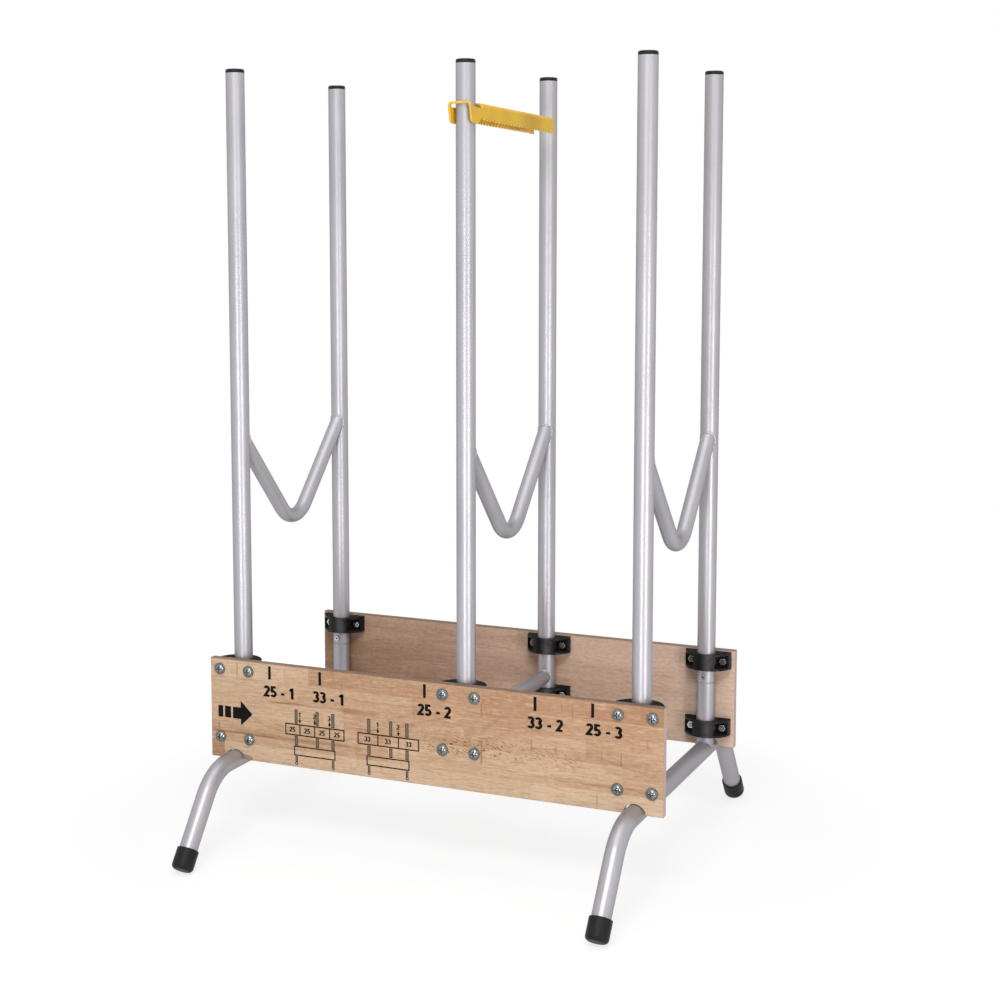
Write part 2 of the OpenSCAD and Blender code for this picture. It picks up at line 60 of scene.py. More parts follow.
# Shader helpers
class Shader:
    """A procedural material with short calls for adding and joining nodes."""

    def __init__(self, name):
        self.mat = bpy.data.materials.new(name)
        self.mat.use_nodes = True
        self.tree = self.mat.node_tree
        self.tree.nodes.clear()
        self.out = self.add("ShaderNodeOutputMaterial")
        self.bsdf = self.add("ShaderNodeBsdfPrincipled")
        self.join(self.bsdf.outputs["BSDF"], self.out.inputs["Surface"])
        self.coord = self.add("ShaderNodeTexCoord")

    def add(self, kind, **settings):
        node = self.tree.nodes.new(kind)
        for key, value in settings.items():
            setattr(node, key, value)
        return node

    def join(self, source, target):
        self.tree.links.new(source, target)

    def set(self, **values):
        """Sets constants on the surface; an underscore stands for a space in a socket's name."""
        for key, value in values.items():
            self.bsdf.inputs[key.replace("_", " ")].default_value = value

    def split(self, kind):
        """Outputs X, Y and Z of the Object, Normal or Generated coordinates."""
        node = self.add("ShaderNodeSeparateXYZ")
        self.join(self.coord.outputs[kind], node.inputs["Vector"])
        return node.outputs

    def scaled(self, scale, vector=None, shift=None):
        """Object coordinates, or vector, times scale and moved by shift if there is one."""
        node = self.add("ShaderNodeMapping", vector_type="POINT")
        node.inputs["Scale"].default_value = scale
        self.join(vector or self.coord.outputs["Object"], node.inputs["Vector"])
        if shift is not None:
            self.join(shift, node.inputs["Location"])
        return node.outputs["Vector"]

    def noise(self, scale, vector=None, detail=2.0, rough=0.5, distort=0.0, shift=None):
        """Noise from 0 to 1, with scale as its lumps per metre along x, y and z."""
        node = self.add("ShaderNodeTexNoise")
        node.inputs["Scale"].default_value = 1.0
        node.inputs["Detail"].default_value = detail
        node.inputs["Roughness"].default_value = rough
        node.inputs["Distortion"].default_value = distort
        self.join(self.scaled(scale, vector, shift), node.inputs["Vector"])
        return node.outputs["Fac"]

    def ramp(self, value, low, high, out_low=0.0, out_high=1.0):
        """out_low where value is below low, out_high where it is above high, smooth between."""
        node = self.add("ShaderNodeMapRange", interpolation_type="SMOOTHSTEP")
        node.inputs["From Min"].default_value = low
        node.inputs["From Max"].default_value = high
        node.inputs["To Min"].default_value = out_low
        node.inputs["To Max"].default_value = out_high
        self.join(value, node.inputs["Value"])
        return node.outputs["Result"]

    def ramp_linear(self, value, low, high):
        """0 at low, 1 at high, straight between."""
        node = self.add("ShaderNodeMapRange")
        node.inputs["From Min"].default_value = low
        node.inputs["From Max"].default_value = high
        self.join(value, node.inputs["Value"])
        return node.outputs["Result"]

    def inside(self, value, low, high, soft):
        """1 between low and high, falling to 0 over soft on both sides."""
        rise = self.ramp(value, low - soft, low + soft)
        fall = self.ramp(value, high - soft, high + soft, 1.0, 0.0)
        return self.math("MULTIPLY", rise, fall)

    def math(self, operation, a, b=None):
        node = self.add("ShaderNodeMath", operation=operation)
        for socket, value in zip(node.inputs, (a, b)):
            if value is None:
                continue
            if isinstance(value, (int, float)):
                socket.default_value = value
            else:
                self.join(value, socket)
        return node.outputs[0]

    def swing(self, value, weight):
        """How far a noise is from its middle, times weight."""
        return self.math("MULTIPLY", self.math("SUBTRACT", value, 0.5), weight)

    def mix(self, factor, a, b):
        """Colour a where factor is 0, colour b where it is 1."""
        node = self.add("ShaderNodeMix", data_type="RGBA")
        for name, value in (("Factor", factor), ("A", a), ("B", b)):
            socket = [s for s in node.inputs if s.name == name and s.enabled][0]
            if isinstance(value, tuple):
                socket.default_value = (*value, 1.0)
            else:
                self.join(value, socket)
        return [s for s in node.outputs if s.enabled][0]

    def bump(self, height, distance, strength, edge_radius=0.0):
        """Fine relief from height, over edges rounded by edge_radius if there is one."""
        node = self.add("ShaderNodeBump")
        node.inputs["Distance"].default_value = distance
        node.inputs["Strength"].default_value = strength
        self.join(height, node.inputs["Height"])
        if edge_radius:
            bevel = self.add("ShaderNodeBevel", samples=4)
            bevel.inputs["Radius"].default_value = edge_radius
            self.join(bevel.outputs["Normal"], node.inputs["Normal"])
        self.join(node.outputs["Normal"], self.bsdf.inputs["Normal"])

    def color(self, source):
        self.join(source, self.bsdf.inputs["Base Color"])

    def roughness(self, source):
        self.join(source, self.bsdf.inputs["Roughness"])


# Silver paint on every tube
def tube_paint():
    silver_dark = (0.405, 0.392, 0.422)
    silver_pale = (0.445, 0.432, 0.46)
    flake_silver = (0.61, 0.595, 0.625)
    scuff_grey = (0.33, 0.325, 0.34)
    s = Shader("silver_paint")
    cloud = s.noise((18, 18, 9), detail=3)
    flake = s.noise((2600, 2600, 2600), detail=1)
    scuff = s.noise((240, 240, 14), detail=4, rough=0.65)
    tone = s.mix(s.ramp(cloud, 0.3, 0.7), silver_dark, silver_pale)
    tone = s.mix(s.ramp(flake, 0.45, 0.75, 0.0, 0.35), tone, flake_silver)
    tone = s.mix(s.ramp(scuff, 0.66, 0.8, 0.0, 0.3), tone, scuff_grey)
    s.color(tone)
    s.roughness(s.ramp(scuff, 0.3, 0.75, 0.35, 0.43))
    s.set(Metallic=0.55, Specular_IOR_Level=0.25, Specular_Tint=(0.4, 0.4, 0.42, 1))
    peel = s.noise((420, 420, 420), detail=2)
    s.bump(peel, 0.1 * MM, 0.12)
    return s.mat


# Weld beads, painted over, with brown scale left in the ripples
def weld():
    paint_dark = (0.34, 0.33, 0.345)
    paint_pale = (0.60, 0.59, 0.60)
    scale_brown = (0.16, 0.10, 0.07)
    s = Shader("weld_bead")
    scale = s.noise((260, 260, 260), detail=4, rough=0.65)
    ripple = s.noise((900, 900, 900), detail=3)
    tone = s.mix(s.ramp(ripple, 0.3, 0.7), paint_dark, paint_pale)
    tone = s.mix(s.ramp(scale, 0.54, 0.68, 0.0, 0.75), tone, scale_brown)
    s.color(tone)
    s.roughness(s.ramp(scale, 0.3, 0.7, 0.26, 0.5))
    s.set(Metallic=0.6)
    s.bump(ripple, 0.4 * MM, 0.7)
    return s.mat


# Beech boards glued from staves: rows from bottom to top, each as its lower edge and its staves,
# a stave as its left end in millimetres and its tone from 0, pale, to 1, dark and reddish
FRONT_ROWS = (
    (0.0, ((-350, 0.90), (-329, 0.10), (-110, 0.20), (160, 0.10), (220, 0.02))),
    (152.0, ((-350, 0.48), (-110, 0.60), (-58, 0.36), (87, 0.38), (291, 0.55))),
    (190.0, ((-350, 0.27), (-130, 0.62), (60, 0.63), (110, 0.58), (240, 0.62))),
    (220.0, ((-350, 0.34), (-240, 0.44), (-20, 0.69), (87, 0.73), (220, 0.62))),
    (250.0, (
        (-350, 0.06), (-305, 0.04), (-228, 0.32), (-186, 0.70),
        (87, 0.78), (220, 0.90), (317, 1.0),
    )),
)
# On the rear board the staves grow darker towards the left end: a painted shadow over the wood's own
# tones
REAR_ROWS = (
    (0.0, ((-350, 0.90), (-210, 0.86), (40, 0.40), (230, 0.04))),
    (163.0, ((-350, 1.0), (-120, 0.88), (-14, 0.46), (150, 0.40), (300, 0.0))),
    (198.0, ((-350, 0.92), (-260, 0.84), (-10, 0.44), (190, 0.34), (312, 0.0))),
    (233.0, ((-350, 0.70), (-150, 0.62), (90, 0.26), (260, 0.08))),
)
# Brown lines at the ends of staves, as x, lower end, upper end and depth
FRONT_MARKS = (
    (87, 236, 256, 0.55),
    (87, 169, 203, 0.7),
    (101, 239, 246, 0.35),
    (161.5, 197, 212, 0.5),
    (197.5, 195, 207, 0.5),
    (291, 189, 209, 0.55),
    (221, 249, 263, 0.45),
    (205.5, 256, 267, 0.4),
    (327.5, 220, 230, 0.4),
    (263, 192, 206, 0.35),
    (-305, 250, 272, 0.45),
    (-337, 167, 180, 0.65),
    (-20, 206, 216, 0.35),
    (-131, 247, 255, 0.4),
    (257, 128, 148, 0.4),
)
# Streaks along the grain, as height at the left end, half width, left end, right end, depth and slope
FRONT_STREAKS = (
    (166.5, 2.2, -350, -225, 1.0, 0.0),
    (169.5, 5.0, -300, -102, 0.65, -0.02),
    (168.0, 1.4, -326, -280, 1.0, 0.0),
    (219.5, 2.0, -250, -195, 1.0, 0.02),
    (220.8, 5.0, -224, -200, 0.8, 0.0),
    (219.5, 1.8, -198, -128, 0.8, 0.0),
    (219.5, 5.5, -132, -74, 0.95, 0.01),
    (236.0, 2.5, -110, -8, 0.35, 0.0),
    (242.0, 2.2, -145, -100, 0.4, -0.14),
    (212.0, 4.5, -61, -6, 0.35, 0.38),
    (202.0, 4.0, -46, 30, 0.28, 0.34),
    (217.0, 6.0, 90, 150, 0.28, 0.75),
    (204.0, 6.0, 100, 165, 0.25, 0.6),
    (196.0, 1.6, -110, -70, 0.7, 0.0),
    (203.4, 3.5, 240, 345, 0.35, -0.22),
    (193.0, 3.5, 280, 349, 0.4, 0.0),
    (161.0, 3.0, 200, 345, 0.5, 0.0),
    (240.0, 2.5, 60, 180, 0.3, 0.0),
)
REAR_STREAKS = (
    (245.0, 0.9, -330, 120, 0.3, 0.0),
    (228.0, 1.1, -200, 300, 0.25, 0.0),
    (205.0, 0.8, -300, 200, 0.25, 0.0),
    (176.0, 1.0, -50, 340, 0.3, 0.0),
)
# Half widths, soft edges and fading ends of the brown lines, streaks and seams, in millimetres
MARK_HALF = 1.1
MARK_SOFT = 0.6
MARK_FADE = 4
STREAK_WANDER = 8
STREAK_FADE = 8
SEAM_HALF = 0.5
# Field of short slanting flecks on the front board, in millimetres
FLECK_LEFT = -8
FLECK_RIGHT = 232
FLECK_LOW = 177
FLECK_HIGH = 206
FLECK_TURN = math.radians(-20)
# Darker patch beside the front left notch: its two sides, and its slanting top as height at x = 0 and
# fall
NOTCH_PATCH_LEFT = -302
NOTCH_PATCH_RIGHT = -280
NOTCH_PATCH_TOP = 69.2
NOTCH_PATCH_FALL = 0.23
# Colours in the wood, apart from those of its staves
FIBRE_BROWN = (0.36, 0.2, 0.115)
FIBRE_PALE = (0.72, 0.53, 0.39)
GRAIN_PALE = (0.76, 0.57, 0.42)
PORE_BROWN = (0.33, 0.17, 0.09)
FLECK_BROWN = (0.15, 0.075, 0.035)
NOTCH_PATCH_BROWN = (0.20, 0.125, 0.085)
STREAK_BROWN = (0.29, 0.13, 0.06)
MARK_BROWN = (0.31, 0.125, 0.04)
SEAM_BROWN = (0.37, 0.21, 0.12)
TOP_BROWN = (0.15, 0.085, 0.06)
END_PALE = (0.70, 0.53, 0.45)
# How far a stave's tone moves its grain, so that neighbouring staves don't continue each other
GRAIN_SHIFT = (17.3, 91.0, 157.0)


def stave_tone(s, x, z, rows, blended):
    """Tone of the stave at x and z; blended tones drift instead of stepping."""
    along = s.ramp_linear(x, -BOARD_HALF, BOARD_HALF)
    soft = 14 * MM if blended else 0.1 * MM
    tone = None
    for low, staves in rows:
        row = s.add("ShaderNodeValToRGB")
        row.color_ramp.interpolation = "EASE" if blended else "CONSTANT"
        stops = row.color_ramp.elements
        stops.remove(stops[1])
        for i, (start, value) in enumerate(staves):
            stop = stops[0] if i == 0 else stops.new(0.5 + start * MM / (2 * BOARD_HALF))
            stop.color = (value, value, value, 1)
        s.join(along, row.inputs["Fac"])
        if tone is None:
            tone = row.outputs["Color"]
        else:
            above = s.ramp(z, low * MM - soft, low * MM + soft)
            tone = s.mix(above, tone, row.outputs["Color"])
    return tone


def flecked(s, tone, x, z, cloud):
    """Tone with the field of flecks and the darker patch beside the front left notch."""
    turn = s.add("ShaderNodeMapping", vector_type="POINT")
    turn.inputs["Rotation"].default_value = (0, FLECK_TURN, 0)
    s.join(s.coord.outputs["Object"], turn.inputs["Vector"])
    fleck = s.noise((170, 520, 520), vector=turn.outputs["Vector"], detail=0)
    width = s.inside(x, FLECK_LEFT * MM, FLECK_RIGHT * MM, 14 * MM)
    height = s.inside(z, FLECK_LOW * MM, FLECK_HIGH * MM, 8 * MM)
    field = s.math("MULTIPLY", width, height)
    field = s.math("MULTIPLY", field, s.ramp(cloud, 0.36, 0.56, 0.5, 1.0))
    field = s.math("MULTIPLY", field, s.ramp(fleck, 0.64, 0.70, 0.0, 0.9))
    tone = s.mix(field, tone, FLECK_BROWN)
    patch_top = s.math("SUBTRACT", NOTCH_PATCH_TOP * MM, s.math("MULTIPLY", x, NOTCH_PATCH_FALL))
    patch = s.ramp(s.math("SUBTRACT", patch_top, z), 0.0, 1.5 * MM)
    patch = s.math("MULTIPLY", patch, s.inside(x, NOTCH_PATCH_LEFT * MM, NOTCH_PATCH_RIGHT * MM, 1 * MM))
    return s.mix(s.math("MULTIPLY", patch, 0.6), tone, NOTCH_PATCH_BROWN)


def streaked(s, tone, x, z, streaks):
    """Tone with streaks that wander and break up along the grain."""
    waved = s.math("ADD", z, s.swing(s.noise((9, 3, 3), detail=3), STREAK_WANDER * MM))
    gate = s.ramp(s.noise((24, 160, 160), detail=4, rough=0.6), 0.38, 0.62, 0.4, 1.0)
    for height, half, left, right, depth, slope in streaks:
        middle = s.math("ADD", s.math("MULTIPLY", x, slope), (height - slope * left) * MM)
        away = s.math("ABSOLUTE", s.math("SUBTRACT", waved, middle))
        line = s.ramp(away, 0.0, half * MM, depth, 0.0)
        reach = s.inside(x, left * MM, right * MM, STREAK_FADE * MM)
        line = s.math("MULTIPLY", line, s.math("MULTIPLY", reach, gate))
        tone = s.mix(line, tone, STREAK_BROWN)
    return tone


def marked(s, tone, x, z, marks):
    """Tone with brown lines at the ends of staves."""
    for at, low, high, depth in marks:
        line = s.inside(x, (at - MARK_HALF) * MM, (at + MARK_HALF) * MM, MARK_SOFT * MM)
        line = s.math("MULTIPLY", line, s.inside(z, low * MM, high * MM, MARK_FADE * MM))
        tone = s.mix(s.math("MULTIPLY", line, depth), tone, MARK_BROWN)
    return tone


def seams(s, z, rows):
    """1 along the glued seams between rows."""
    seam = None
    for row in rows[1:]:
        away = s.math("ABSOLUTE", s.math("SUBTRACT", z, row[0] * MM))
        line = s.ramp(away, 0.0, SEAM_HALF * MM, 1.0, 0.0)
        seam = line if seam is None else s.math("MAXIMUM", seam, line)
    return seam


def beech(name, rows, marks, streaks, pale, middle, dark, grain_depth, even):
    """Beech with its staves and marks; an even board has drifting tones and no flecks or notch patch."""
    s = Shader(name)
    xyz = s.split("Object")
    x = xyz["X"]
    z = xyz["Z"]
    pick = stave_tone(s, x, z, rows, False)
    shift = s.add("ShaderNodeVectorMath", operation="MULTIPLY")
    shift.inputs[1].default_value = GRAIN_SHIFT
    s.join(pick, shift.inputs[0])
    move = shift.outputs["Vector"]
    figure = s.noise((3.2, 46, 46), detail=3, rough=0.55, distort=0.9, shift=move)
    fibre = s.noise((16, 1100, 1100), detail=3, rough=0.6, shift=move)
    grain = s.noise((38, 480, 480), detail=3, rough=0.6, shift=move)
    pore = s.noise((170, 900, 900), detail=2, shift=move)
    mottle = s.noise((130, 320, 320), detail=3, rough=0.6, shift=move)
    cloud = s.noise((7, 16, 16), detail=3)
    level = s.add("ShaderNodeValToRGB")
    level.color_ramp.elements[0].color = (*pale, 1)
    level.color_ramp.elements[1].color = (*dark, 1)
    level.color_ramp.elements.new(0.5).color = (*middle, 1)
    grey = s.add("ShaderNodeSeparateColor")
    s.join(stave_tone(s, x, z, rows, True) if even else pick, grey.inputs["Color"])
    drift = s.math("ADD", s.swing(figure, 0.75), s.swing(cloud, 0.35))
    drift = s.math("ADD", drift, s.swing(mottle, 1.0))
    s.join(s.math("ADD", grey.outputs["Red"], drift), level.inputs["Fac"])
    tone = level.outputs["Color"]
    tone = s.mix(s.ramp(fibre, 0.48, 0.8, 0.0, 0.3), tone, FIBRE_BROWN)
    tone = s.mix(s.ramp(fibre, 0.2, 0.44, 0.28, 0.0), tone, FIBRE_PALE)
    tone = s.mix(s.ramp(grain, 0.5, 0.72, 0.0, grain_depth), tone, FIBRE_BROWN)
    tone = s.mix(s.ramp(grain, 0.28, 0.48, grain_depth, 0.0), tone, GRAIN_PALE)
    tone = s.mix(s.ramp(pore, 0.6, 0.74, 0.0, grain_depth), tone, PORE_BROWN)
    if not even:
        tone = flecked(s, tone, x, z, cloud)
    tone = streaked(s, tone, x, z, streaks)
    tone = marked(s, tone, x, z, marks)
    seam = seams(s, z, rows)
    tone = s.mix(s.math("MULTIPLY", seam, 0.1 if even else 0.25), tone, SEAM_BROWN)
    sides = s.split("Normal")
    tone = s.mix(s.ramp(sides["Z"], 0.4, 0.8, 0.0, 0.75), tone, TOP_BROWN)
    ends = s.ramp(s.math("ABSOLUTE", sides["X"]), 0.6, 0.9, 0.0, 0.85)
    tone = s.mix(ends, tone, END_PALE)
    s.color(tone)
    s.roughness(s.ramp(fibre, 0.3, 0.8, 0.5, 0.66))
    s.set(Specular_IOR_Level=0.25)
    grooves = s.math("SUBTRACT", fibre, s.math("MULTIPLY", seam, 1.5))
    s.bump(grooves, 0.08 * MM, 0.5, edge_radius=0.8 * MM)
    return s.mat


# Black moulded plastic for clips and plugs; the clips get a painted sheen, a paler band on their bulge
def black_plastic(name, tone, rough, painted_sheen):
    black = (tone, tone, tone * 1.06)
    dusty = (tone * 2.2, tone * 2.1, tone * 2.1)
    sheen_grey = (0.11, 0.098, 0.104)
    s = Shader(name)
    dust = s.noise((60, 60, 60), detail=4, rough=0.6)
    grain = s.noise((1900, 1900, 1900), detail=2)
    base = s.mix(s.ramp(dust, 0.5, 0.85, 0.0, 0.4), black, dusty)
    if painted_sheen:
        # Painted sheen: the paler band on the bulge stands in for a highlight
        sheen_band = s.inside(s.split("Generated")["X"], 0.53, 0.67, 0.11)
        sheen_band = s.math("MULTIPLY", sheen_band, s.ramp(dust, 0.25, 0.6, 0.6, 1.0))
        base = s.mix(sheen_band, base, sheen_grey)
    s.color(base)
    level = s.ramp(s.math("ABSOLUTE", s.split("Normal")["Z"]), 0.5, 0.9, 0.0, 0.98)
    s.roughness(s.math("MAXIMUM", level, s.ramp(dust, 0.3, 0.8, rough - 0.06, rough + 0.1)))
    s.set(Specular_IOR_Level=0.2)
    s.bump(grain, 0.08 * MM, 0.5, edge_radius=0.9 * MM)
    return s.mat


# Rubber feet, dull, with dust and scuffs
def rubber():
    black = (0.009, 0.008, 0.0085)
    dusty = (0.021, 0.019, 0.019)
    floor_dust = (0.05, 0.045, 0.042)
    s = Shader("foot_rubber")
    dust = s.noise((90, 90, 90), detail=5, rough=0.65)
    grain = s.noise((1300, 1300, 1300), detail=3)
    low = s.ramp(s.split("Object")["Z"], 0.0, 12 * MM, 0.4, 0.0)
    base = s.mix(s.ramp(dust, 0.42, 0.8, 0.0, 0.6), black, dusty)
    base = s.mix(s.math("MULTIPLY", low, dust), base, floor_dust)
    s.color(base)
    s.roughness(s.ramp(dust, 0.3, 0.8, 0.42, 0.65))
    s.set(Specular_IOR_Level=0.2)
    s.bump(grain, 0.1 * MM, 0.5, edge_radius=1 * MM)
    return s.mat


# Zinc-plated steel, with painted shade that darkens its hollows
def zinc(name, dull, bright, metallic, smooth):
    shade_black = (0.012, 0.012, 0.011)
    s = Shader(name)
    cloud = s.noise((380, 380, 380), detail=4, rough=0.6)
    brush = s.noise((900, 5200, 900), detail=2)
    base = s.mix(s.ramp(cloud, 0.35, 0.7), dull, bright)
    # Painted shade: ambient occlusion darkens the hollows and the gaps between parts
    hollow_shade = s.add("ShaderNodeAmbientOcclusion", samples=8)
    hollow_shade.inputs["Distance"].default_value = 2.5 * MM
    base = s.mix(s.ramp(hollow_shade.outputs["AO"], 0.45, 0.92, 0.95, 0.0), base, shade_black)
    s.color(base)
    s.roughness(s.ramp(cloud, 0.3, 0.75, smooth, smooth + 0.16))
    s.set(Metallic=metallic)
    s.bump(brush, 0.04 * MM, 0.5, edge_radius=0.4 * MM)
    return s.mat


# Yellow paint on the folded clamp, with a painted highlight that makes it paler along its edges and teeth
def clamp_paint():
    yellow_deep = (0.82, 0.475, 0.024)
    yellow = (0.88, 0.535, 0.04)
    chip_brown = (0.45, 0.27, 0.05)
    edge_highlight_yellow = (0.98, 0.79, 0.22)
    s = Shader("yellow_paint")
    cloud = s.noise((40, 40, 40), detail=3)
    peel = s.noise((520, 520, 520), detail=2)
    chip = s.noise((210, 210, 210), detail=5, rough=0.7)
    base = s.mix(s.ramp(cloud, 0.3, 0.7), yellow_deep, yellow)
    base = s.mix(s.ramp(chip, 0.7, 0.78, 0.0, 0.45), base, chip_brown)
    # Painted highlight: where the bevelled normal turns from the face's normal, at edges and teeth, the
    # yellow is paler
    bevel = s.add("ShaderNodeBevel", samples=6)
    bevel.inputs["Radius"].default_value = 2.4 * MM
    geometry = s.add("ShaderNodeNewGeometry")
    bend = s.add("ShaderNodeVectorMath", operation="DOT_PRODUCT")
    s.join(bevel.outputs["Normal"], bend.inputs[0])
    s.join(geometry.outputs["Normal"], bend.inputs[1])
    base = s.mix(s.ramp(bend.outputs["Value"], 0.7, 0.97, 0.9, 0.0), base, edge_highlight_yellow)
    s.color(base)
    s.roughness(s.ramp(cloud, 0.3, 0.7, 0.32, 0.42))
    s.set(Specular_IOR_Level=0.22)
    s.bump(peel, 0.1 * MM, 0.4, edge_radius=0.6 * MM)
    return s.mat


# Printing ink that has sunk a little into the grain
def ink(name, tone, worn):
    s = Shader(name)
    fibre = s.noise((60, 1400, 1400), detail=3, rough=0.6)
    s.color(s.mix(s.ramp(fibre, 0.62, 0.82, 0.0, 0.5), tone, worn))
    s.roughness(s.ramp(fibre, 0.3, 0.8, 0.55, 0.75))
    s.set(Specular_IOR_Level=0.06)
    s.bump(fibre, 0.06 * MM, 0.5)
    return s.mat


MATERIALS = {
    "tube_paint": tube_paint(),
    "beech": beech(
        "beech_front", FRONT_ROWS, FRONT_MARKS, FRONT_STREAKS,
        pale=(0.70, 0.505, 0.345), middle=(0.575, 0.368, 0.227), dark=(0.43, 0.225, 0.125),
        grain_depth=0.5, even=False,
    ),
    "clip_plastic": black_plastic("clip_plastic", tone=0.006, rough=0.3, painted_sheen=True),
    "plug_plastic": black_plastic("plug_plastic", tone=0.011, rough=0.45, painted_sheen=False),
    "foot_rubber": rubber(),
    "zinc": zinc(
        "zinc_plate", dull=(0.20, 0.208, 0.215), bright=(0.35, 0.358, 0.36), metallic=0.85, smooth=0.07,
    ),
    "clamp_paint": clamp_paint(),
}
# The rear board's beech: pinker than the front's, which is its own tone, and paler, which is painted
# light
REAR_BEECH = beech(
    "beech_rear", REAR_ROWS, (), REAR_STREAKS,
    pale=(0.78, 0.565, 0.44), middle=(0.60, 0.395, 0.288), dark=(0.42, 0.24, 0.155),
    grain_depth=0.3, even=True,
)
WELD = weld()
WASHER_ZINC = zinc(
    "zinc_washer", dull=(0.125, 0.13, 0.12), bright=(0.21, 0.215, 0.20), metallic=0.5, smooth=0.2,
)
NUT_ZINC = zinc(
    "zinc_nut", dull=(0.50, 0.51, 0.52), bright=(0.88, 0.89, 0.90), metallic=0.95, smooth=0.1,
)
INK = ink("print_ink", tone=(0.008, 0.007, 0.006), worn=(0.06, 0.04, 0.026))
GREY_INK = ink("print_grey", tone=(0.22, 0.165, 0.12), worn=(0.36, 0.25, 0.165))
for part in frame["record"]["subparts"]:
    mesh = nodes[part["node"]].data
    mesh.materials.clear()
    mesh.materials.append(MATERIALS[part["material_slot"]])
nodes["rear_board"].data.materials[0] = REAR_BEECH
for washers in ("front_washers", "rear_washers"):
    nodes[washers].data.materials[0] = WASHER_ZINC
for bright in ("front_nuts", "rear_nuts", "joint_screws_left", "joint_screws_right"):
    nodes[bright].data.materials[0] = NUT_ZINC


def place(obj, body, material):
    """Links a new piece, paints it and lets it ride on its body."""
    scene.collection.objects.link(obj)
    obj.data.materials.append(material)
    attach(obj, body)


def mesh_object(name, points, faces, smooth=False):
    mesh = bpy.data.meshes.new(name)
    mesh.from_pydata([tuple(p) for p in points], [], faces)
    mesh.validate()
    mesh.update()
    if smooth:
        mesh.shade_smooth()
    return bpy.data.objects.new(name, mesh)


# Weld beads: radius, points along a bead and points round it
BEAD_R = 1.5 * MM
BEAD_POINTS = 84
BEAD_SIDES = 8
# Ripples of a hand-made weld, as depth, number round the bead and phase
FINE_RIPPLE = (0.16, 21, 0)
SLOW_RIPPLE = (0.1, 5, 1)


def bead(name, loop, body):
    """A closed, rippled weld bead along loop."""
    count = len(loop)
    points = []
    faces = []
    middle = sum(loop, Vector()) / count
    for i, p in enumerate(loop):
        along = (loop[(i + 1) % count] - loop[i - 1]).normalized()
        out = p - middle
        out = (out - along * out.dot(along)).normalized()
        side = along.cross(out)
        radius = BEAD_R
        for depth, waves, phase in (FINE_RIPPLE, SLOW_RIPPLE):
            radius += BEAD_R * depth * math.sin(2 * math.pi * i * waves / count + phase)
        for k in range(BEAD_SIDES):
            turn = 2 * math.pi * k / BEAD_SIDES
            points.append(p + (out * math.cos(turn) + side * math.sin(turn)) * radius)
    for i in range(count):
        here = i * BEAD_SIDES
        after = (i + 1) % count * BEAD_SIDES
        for k in range(BEAD_SIDES):
            beside = (k + 1) % BEAD_SIDES
            faces.append((here + k, here + beside, after + beside, after + k))
    place(mesh_object(name, points, faces, smooth=True), body, WELD)


def bar_seat(x, side, slope, meet_z):
    """Where a bar that rises at slope towards side meets the inner half of an upright."""
    loop = []
    for i in range(BEAD_POINTS):
        turn = 2 * math.pi * i / BEAD_POINTS
        across = BAR_R * math.cos(turn)
        lift = BAR_R * math.sin(turn)
        reach = -math.sqrt(TUBE_R ** 2 - across ** 2)
        run = (reach + lift * math.sin(slope)) / math.cos(slope)
        y = side * (AXIS_Y + reach)
        z = meet_z + run * math.sin(slope) + lift * math.cos(slope)
        loop.append(Vector((x + across, y, z)))
    return loop


def stub_seat(x, side):
    """Lower rim of a stub on its foot bow."""
    loop = []
    for i in range(BEAD_POINTS):
        turn = 2 * math.pi * i / BEAD_POINTS
        across = TUBE_R * math.cos(turn)
        along = TUBE_R * math.sin(turn)
        top = LEG_Z + math.sqrt(max(0.0, LEG_R ** 2 - across ** 2))
        loop.append(Vector((x + across, side * AXIS_Y + along, max(top, STUB_LOW_Z))))
    return loop


BAR_APEX_Z = BAR_BOTTOM_Z + BAR_BEND_R - BAR_BEND_R / math.cos(BAR_SLOPE)
BAR_MEET_Z = BAR_APEX_Z + AXIS_Y * math.tan(BAR_SLOPE)
FRAMES = (("left", -END_X, "left_frame"), ("mid", MID_X, "middle_frame"), ("right", END_X, "right_frame"))
SIDES = (("front", -1), ("rear", 1))
for label, x, body in FRAMES:
    for word, side in SIDES:
        bead(f"weld_cradle_{label}_{word}", bar_seat(x, side, BAR_SLOPE, BAR_MEET_Z), body)
for word, side in SIDES:
    bead(f"weld_cross_{word}", bar_seat(MID_X, side, 0.0, CROSS_Z), "middle_frame")
    bead(f"weld_stub_left_{word}", stub_seat(-END_X, side), "left_frame")
    bead(f"weld_stub_right_{word}", stub_seat(END_X, side), "right_frame")

# Print on the front board, drawn in millimetres as x and z on its face and lifted off it in metres
INK_LIFT = 0.06 * MM


def face_point(x, z):
    return Vector((x * MM, FRONT_Y - INK_LIFT, z * MM))


def printed(name, shapes, material):
    """One flat piece of ink made of polygons on the front face."""
    points = []
    faces = []
    for shape in shapes:
        start = len(points)
        points.extend(face_point(x, z) for x, z in shape)
        faces.append(tuple(range(start, start + len(shape))))
    place(mesh_object(name, points, faces), "front_rail", material)


def box(x0, z0, x1, z1):
    return [(x0, z0), (x1, z0), (x1, z1), (x0, z1)]


def outline(x0, z0, x1, z1, w):
    """Four strokes of width w inside the edges of a box."""
    return [
        box(x0, z0, x1, z0 + w),
        box(x0, z1 - w, x1, z1),
        box(x0, z0 + w, x0 + w, z1 - w),
        box(x1 - w, z0 + w, x1, z1 - w),
    ]


RING_PIECES = 12


def ring(x, z, inner, outer):
    """A flat ring in short pieces."""
    shapes = []
    for i in range(RING_PIECES):
        a = 2 * math.pi * i / RING_PIECES
        b = 2 * math.pi * (i + 1) / RING_PIECES
        shapes.append([
            (x + inner * math.cos(a), z + inner * math.sin(a)),
            (x + outer * math.cos(a), z + outer * math.sin(a)),
            (x + outer * math.cos(b), z + outer * math.sin(b)),
            (x + inner * math.cos(b), z + inner * math.sin(b)),
        ])
    return shapes


